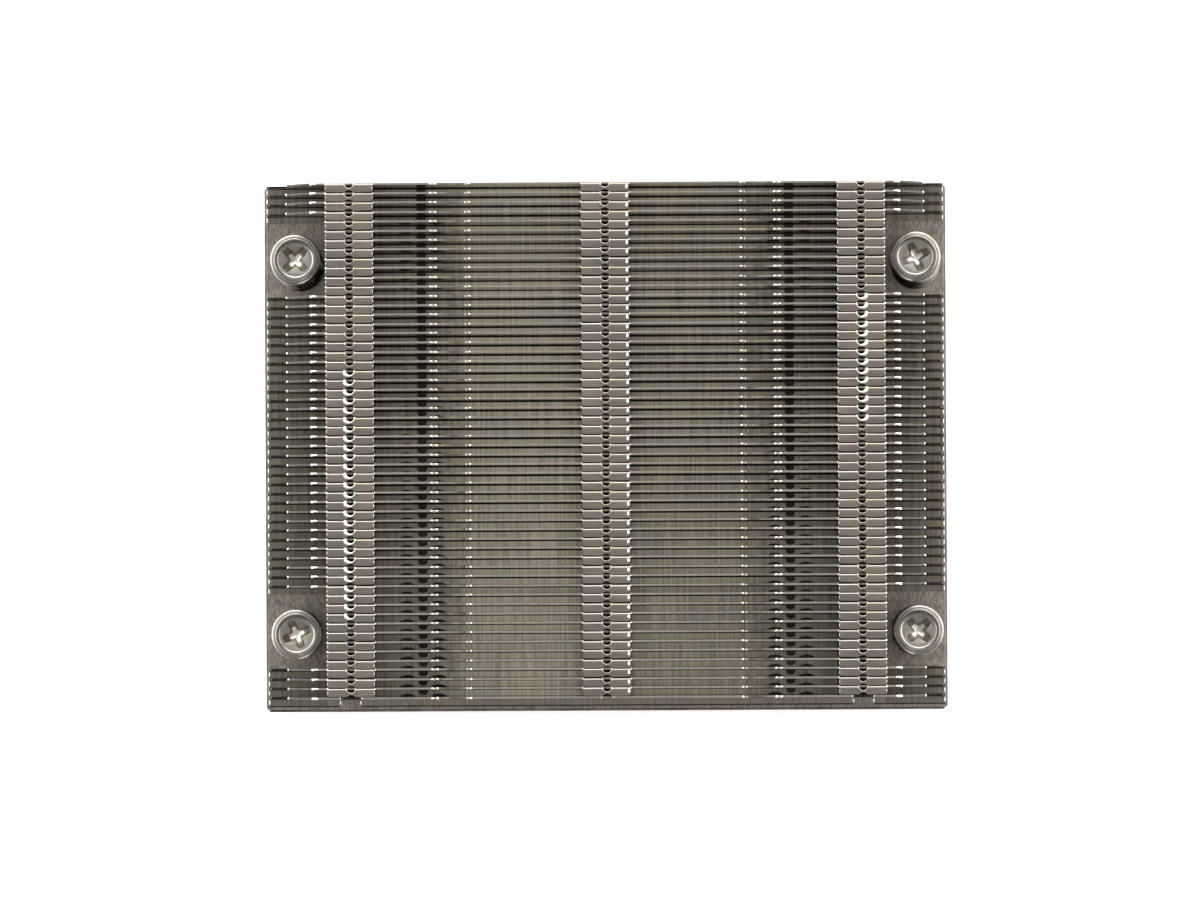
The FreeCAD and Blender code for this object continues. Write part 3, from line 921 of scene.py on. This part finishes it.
# the driver recess: reach and half width of a wing, place of the corner between two, and sections
WING_REACH = 2.2
WING_HALF = 0.5
WING_CORNER = 0.76
RECESS_SECTIONS = [(0.3, 1.04), (-0.5, 1.0), (-0.95, 0.94), (-1.95, 0.52), (-2.15, 0.2)]
# limits of the dish and of the recess, by radius and by height from the head's top
DISH_RADIUS = 2.6
RECESS_START = -0.56
RECESS_FLOOR = -1.93
RECESS_END = -2.4


def turned(name, profile, segments=96):
    """A solid of revolution about Z through (radius, height) pairs, closed on the axis."""
    verts = []
    for radius, height in profile:
        for step in range(segments):
            turn = 2 * math.pi * step / segments
            verts.append(Vector((radius * math.cos(turn), radius * math.sin(turn), height)) * MM)
    faces = ring_faces(len(profile), segments)
    faces.append(list(range(segments))[::-1])
    faces.append([(len(profile) - 1) * segments + step for step in range(segments)])
    return mesh_from(name, verts, faces)


def arc_points(centre_r, centre_z, radius, start, finish, steps):
    """Points of an arc in the (radius, height) plane, angles in degrees."""
    points = []
    for step in range(steps + 1):
        turn = math.radians(start + (finish - start) * step / steps)
        points.append((centre_r + radius * math.cos(turn), centre_z + radius * math.sin(turn)))
    return points


def driver_tool():
    """The shape that a cross-head driver leaves: four wings that taper down to a point."""
    wing = [
        (WING_REACH, -WING_HALF, 0.12),
        (WING_REACH, WING_HALF, 0.12),
        (WING_CORNER, WING_CORNER, 0.3),
    ]
    outline = []
    for quarter in range(4):
        turn = Matrix.Rotation(math.pi / 2 * quarter, 2)
        for x, y, radius in wing:
            point = turn @ Vector((x, y))
            outline.append((point.x, point.y, radius))
    section = rounded(outline, 4)
    verts = []
    for level, scale in RECESS_SECTIONS:
        height = HEAD_TOP + level
        verts += [Vector((point.x * scale, point.y * scale, height)) * MM for point in section]
    return closed_tube("driver_tool", verts, len(section))


def screw_form():
    """The screw on the Z axis: threaded tip, clip groove, shank and the stepped, dished head."""
    groove_low = clip_low.z / MM
    groove_high = clip_high.z / MM + 0.1
    profile = [(1.2, TIP), (1.45, TIP + 0.1)]
    height = TIP + 0.35
    while height < groove_low - 0.5:
        profile += [(THREAD_ROOT, height), (THREAD_CREST, height + 0.3)]
        profile += [(THREAD_CREST, height + 0.4), (THREAD_ROOT, height + THREAD_PITCH)]
        height += THREAD_PITCH
    profile += [(1.95, groove_low - 0.1), (1.9, groove_low), (GROOVE_RADIUS, groove_low)]
    profile += [(GROOVE_RADIUS, groove_high), (1.9, groove_high), (SHANK_RADIUS, groove_high + 0.1)]
    profile += [(SHANK_RADIUS, SEAT), (HEAD_BODY, SEAT)]
    profile += arc_points(HEAD_BODY, SEAT + HEAD_ROUND, HEAD_ROUND, -90, 0, 4)
    profile += arc_points(HEAD_BODY, HEAD_TOP - 0.4, HEAD_ROUND, 0, 66, 4)
    profile += [(3.36, HEAD_TOP - 0.12), (3.3, HEAD_TOP - 0.13), (3.24, HEAD_TOP - 0.04)]
    profile += [(3.16, HEAD_TOP), (3.0, HEAD_TOP)]
    profile += arc_points(2.44, HEAD_TOP, 0.5, 0, -86, 7)
    blank = add_object("screw_blank", turned("screw_blank", profile))
    tool = add_object("driver_tool", driver_tool())
    cut = blank.modifiers.new("recess", "BOOLEAN")
    cut.operation = "DIFFERENCE"
    cut.object = tool
    cut.solver = "EXACT"
    bevel = blank.modifiers.new("worn_edges", "BEVEL")
    bevel.width = 0.06 * MM
    bevel.segments = 2
    bevel.limit_method = "ANGLE"
    bevel.angle_limit = math.radians(45)
    baked = bake_modifiers(blank)
    bpy.data.objects.remove(blank)
    bpy.data.objects.remove(tool)
    baked.materials.clear()
    baked.materials.append(screw_metal)
    baked.materials.append(recess_shade_metal)
    baked.materials.append(face_metal)
    baked.materials.append(painted_glint_metal)
    # painted shade on the recess walls and a painted glint at its bottom; the dish has its own face
    # colour
    for face in baked.polygons:
        level = face.center.z / MM - HEAD_TOP
        inner = Vector(face.center[:2]).length / MM < DISH_RADIUS
        if inner and level > RECESS_END:
            face.material_index = 3 if level < RECESS_FLOOR else 1 if level < RECESS_START else 2
    baked.shade_smooth()
    baked.set_sharp_from_angle(angle=math.radians(32))
    return baked


# how far each recess is turned, in degrees
SCREW_TURNS = {"rear_left": 45, "rear_right": 22, "front_left": 22, "front_right": 45}
# how far each head stands off its hole's axis, to the right and to the rear
SCREW_LEANS = {
    "rear_left": (0.15, 0.52),
    "rear_right": (-0.06, 0.54),
    "front_left": (0.1, -0.15),
    "front_right": (0.15, 0.05),
}


def hole_axis(corner):
    """Point of the corner's screw axis on the plate's underside."""
    low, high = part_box(f"screw_{corner}")
    return Vector(((low.x + high.x) / 2, (low.y + high.y) / 2, 0))


def build_screws():
    """A turned and leaning copy of the screw at each corner."""
    form = screw_form()
    pivot_height = clip_high.z
    for corner in CORNERS:
        right, rear = SCREW_LEANS[corner]
        arm = HEAD_TOP * MM - pivot_height
        shear = Matrix.Identity(4)
        shear[0][2] = right * MM / arm
        shear[1][2] = rear * MM / arm
        pivot = Matrix.Translation((0, 0, pivot_height))
        lean = pivot @ shear @ pivot.inverted()
        turn = Matrix.Rotation(math.radians(SCREW_TURNS[corner]), 4, "Z")
        place = Matrix.Translation(hole_axis(corner)) @ lean @ turn
        piece = add_object(f"cross_head_{corner}", moved_copy(form, place))
        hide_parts(f"screw_{corner}")
        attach(piece, f"screw_{corner}")


build_screws()

# ---------------------------------------------------------------- springs

# millimetres and turns, with END_TURNS closed at each end, which rise by END_RISE of the wire
WIRE = 0.8
COIL = 7.4
END_TURNS = 1.0
TURNS = 5.5
STEPS_PER_TURN = 40
WIRE_SIDES = 14
END_RISE = 0.9
# share of the screw's lean that its coil follows
COIL_FOLLOWS = 0.6
# how much the coils crowd towards the closed ends
COIL_CROWDING = 0.35
# how far each coil's foot stands off its hole's axis, to the right and to the rear
SPRING_SHIFTS = {
    "rear_left": (0.65, -0.35),
    "rear_right": (0.15, -0.45),
    "front_left": (0.0, 0.0),
    "front_right": (0.0, 0.0),
}


def spring_mesh(corner):
    """A coil with closed, ground ends between the plate and the head, following the screw's lean."""
    low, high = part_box(f"spring_{corner}")
    axis = hole_axis(corner)
    lean = SCREW_LEANS[corner]
    shift = SPRING_SHIFTS[corner]
    wire = WIRE * MM / 2
    bottom = low.z + wire
    top = high.z - wire
    radius = COIL * MM / 2 - wire
    steps = round(TURNS * STEPS_PER_TURN)
    rise = WIRE * MM * 1.02
    verts = []
    for step in range(steps + 1):
        turns = step / STEPS_PER_TURN
        if turns < END_TURNS:
            height = bottom + rise * turns / END_TURNS * END_RISE
        elif turns > TURNS - END_TURNS:
            height = top - rise * (TURNS - turns) / END_TURNS * END_RISE
        else:
            share = (turns - END_TURNS) / (TURNS - 2 * END_TURNS)
            eased = share * share * (3 - 2 * share)
            share = eased * COIL_CROWDING + share * (1 - COIL_CROWDING)
            height = bottom + rise * END_RISE + share * (top - bottom - 2 * END_RISE * rise)
        level = (height - bottom) / (top - bottom)
        right = lean[0] * level * COIL_FOLLOWS + shift[0] * (1 - level)
        rear = lean[1] * level * COIL_FOLLOWS + shift[1] * (1 - level)
        centre = Vector((axis.x + right * MM, axis.y + rear * MM, height))
        turn = 2 * math.pi * turns
        outward = Vector((math.cos(turn), math.sin(turn), 0))
        for side in range(WIRE_SIDES):
            angle = 2 * math.pi * side / WIRE_SIDES
            point = centre + outward * (radius + wire * math.cos(angle))
            point.z += wire * math.sin(angle)
            point.z = min(max(point.z, low.z), high.z)
            verts.append(point)
    mesh = closed_tube(f"coil_{corner}", verts, WIRE_SIDES)
    mesh.shade_smooth()
    mesh.set_sharp_from_angle(angle=math.radians(50))
    return mesh


def build_springs():
    """A coil spring at each corner, on the heatsink, with a mesh of its own."""
    pieces = []
    for corner in CORNERS:
        piece = add_object(f"coil_spring_{corner}", spring_mesh(corner))
        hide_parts(f"spring_{corner}")
        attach(piece, "heatsink")
        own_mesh(piece)
        pieces.append(piece)
    return pieces


spring_pieces = build_springs()

# ---------------------------------------------------------------- finishes on the pieces


def assign(piece, material):
    """Give a piece one material on all its faces."""
    piece.data.materials.clear()
    piece.data.materials.append(material)


assign(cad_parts["base_plate"], plate_metal)
for corner in CORNERS:
    assign(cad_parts[f"clip_{corner}"], screw_metal)
for piece in spring_pieces:
    assign(piece, spring_shade_metal)

# bright rounded rims on the pieces that keep their own shape
for node in ["base_plate"] + [f"clip_{corner}" for corner in CORNERS]:
    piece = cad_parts[node]
    weld = piece.modifiers.new("weld", "WELD")
    weld.merge_threshold = 0.0005 * MM
    bevel = piece.modifiers.new("rims", "BEVEL")
    bevel.width = 0.08 * MM
    bevel.segments = 2
    bevel.limit_method = "ANGLE"
    bevel.angle_limit = math.radians(35)

# ---------------------------------------------------------------- floor, light and camera

FLOOR_HALF = 2.0
FLOOR_GAP = 0.02 * MM
FLOOR_GREY = (0.86, 0.86, 0.86, 1)
FLOOR_GLOW = 0.5
# brightness of the tent from the horizon up, and from the front to the rear
HEIGHT_SHADE = [(0.0, 1.0), (0.55, 0.9), (0.85, 0.5), (1.0, 0.44)]
FRONT_SHADE = [(0.1, 0.12), (0.3, 0.5), (0.45, 1.0)]
LAMP_TARGET = (0, 0, 0.02)
# name, place, width, height and power of each soft box
LAMPS = [
    ("rear_box", (0.0, 0.9, 0.8), 1.4, 0.6, 14),
    ("left_box", (-0.9, 0.1, 0.7), 1.0, 0.5, 8),
    ("right_box", (0.9, 0.1, 0.7), 1.0, 0.5, 8),
]
# the camera's height above the fins, its place and its aim in metres, its roll in degrees
CAMERA_HEIGHT = 2.170
CAMERA_OFFSET = (0.0001, -0.0229)
CAMERA_AIM = (-0.0009, -0.00055)
CAMERA_LENS = 431.9
CAMERA_ROLL = 0.29


def build_floor():
    """A plain pale floor under the screw tips."""
    level = cad_low.z - FLOOR_GAP
    corners = ((-1, -1), (1, -1), (1, 1), (-1, 1))
    verts = [Vector((x * FLOOR_HALF, y * FLOOR_HALF, level)) for x, y in corners]
    floor = add_object("floor", mesh_from("floor", verts, [[0, 1, 2, 3]]))
    material, nodes, links = new_material("floor_paper")
    shader = nodes["Principled BSDF"]
    shader.inputs["Base Color"].default_value = FLOOR_GREY
    shader.inputs["Roughness"].default_value = 0.9
    shader.inputs["Specular IOR Level"].default_value = 0.1
    path = nodes.new("ShaderNodeLightPath")
    seen = nodes.new("ShaderNodeMath")
    seen.operation = "MAXIMUM"
    links.new(path.outputs["Is Camera Ray"], seen.inputs[0])
    links.new(path.outputs["Is Glossy Ray"], seen.inputs[1])
    glow = nodes.new("ShaderNodeMath")
    glow.operation = "MULTIPLY"
    glow.inputs[1].default_value = FLOOR_GLOW
    links.new(seen.outputs["Value"], glow.inputs[0])
    shader.inputs["Emission Color"].default_value = (1, 1, 1, 1)
    links.new(glow.outputs["Value"], shader.inputs["Emission Strength"])
    assign(floor, material)


def greys(shades):
    """Colour stops from (place, brightness) pairs."""
    return [(place, (level, level, level)) for place, level in shades]


def build_world():
    """A soft tent: paler towards the horizon, dimmer overhead and in front."""
    world = bpy.data.worlds.new("tent")
    bpy.context.scene.world = world
    world.use_nodes = True
    nodes = world.node_tree.nodes
    links = world.node_tree.links
    coords = nodes.new("ShaderNodeTexCoord")
    split = nodes.new("ShaderNodeSeparateXYZ")
    links.new(coords.outputs["Generated"], split.inputs["Vector"])
    tone = ramp(nodes, links, split.outputs["Z"], greys(HEIGHT_SHADE))
    facing = ranged(nodes, links, split.outputs["Y"], -1.0, 1.0)
    front = ramp(nodes, links, facing, greys(FRONT_SHADE))
    sky = blended(nodes, links, "MULTIPLY", 1.0, tone.outputs["Color"], front.outputs["Color"])
    links.new(sky, nodes["Background"].inputs["Color"])
    nodes["Background"].inputs["Strength"].default_value = 1.0


def add_lamp(name, place, width, height, power):
    """A soft box that looks at the part."""
    data = bpy.data.lights.new(name, "AREA")
    data.shape = "RECTANGLE"
    data.size = width
    data.size_y = height
    data.energy = power
    lamp = bpy.data.objects.new(name, data)
    bpy.context.scene.collection.objects.link(lamp)
    lamp.location = place
    aim = Vector(LAMP_TARGET) - Vector(place)
    lamp.rotation_euler = aim.to_track_quat("-Z", "Y").to_euler()
    lamp.visible_camera = False


def build_camera():
    """Camera high above the part, looking down on it from slightly to the front."""
    data = bpy.data.cameras.new("camera")
    data.sensor_width = 36
    data.lens = CAMERA_LENS
    data.clip_start = 0.1
    data.clip_end = 10
    camera = bpy.data.objects.new("camera", data)
    bpy.context.scene.collection.objects.link(camera)
    place = Vector((*CAMERA_OFFSET, cad_high.z + CAMERA_HEIGHT))
    target = Vector((*CAMERA_AIM, cad_high.z))
    roll = math.radians(CAMERA_ROLL)
    back = (place - target).normalized()
    up = Vector((math.sin(roll), math.cos(roll), 0))
    right = up.cross(back).normalized()
    up = back.cross(right)
    turn = Matrix((right, up, back)).transposed().to_4x4()
    camera.matrix_world = Matrix.Translation(place) @ turn
    bpy.context.scene.camera = camera


build_floor()
build_world()
for lamp_facts in LAMPS:
    add_lamp(*lamp_facts)
build_camera()
bpy.context.scene.view_settings.view_transform = "Standard"
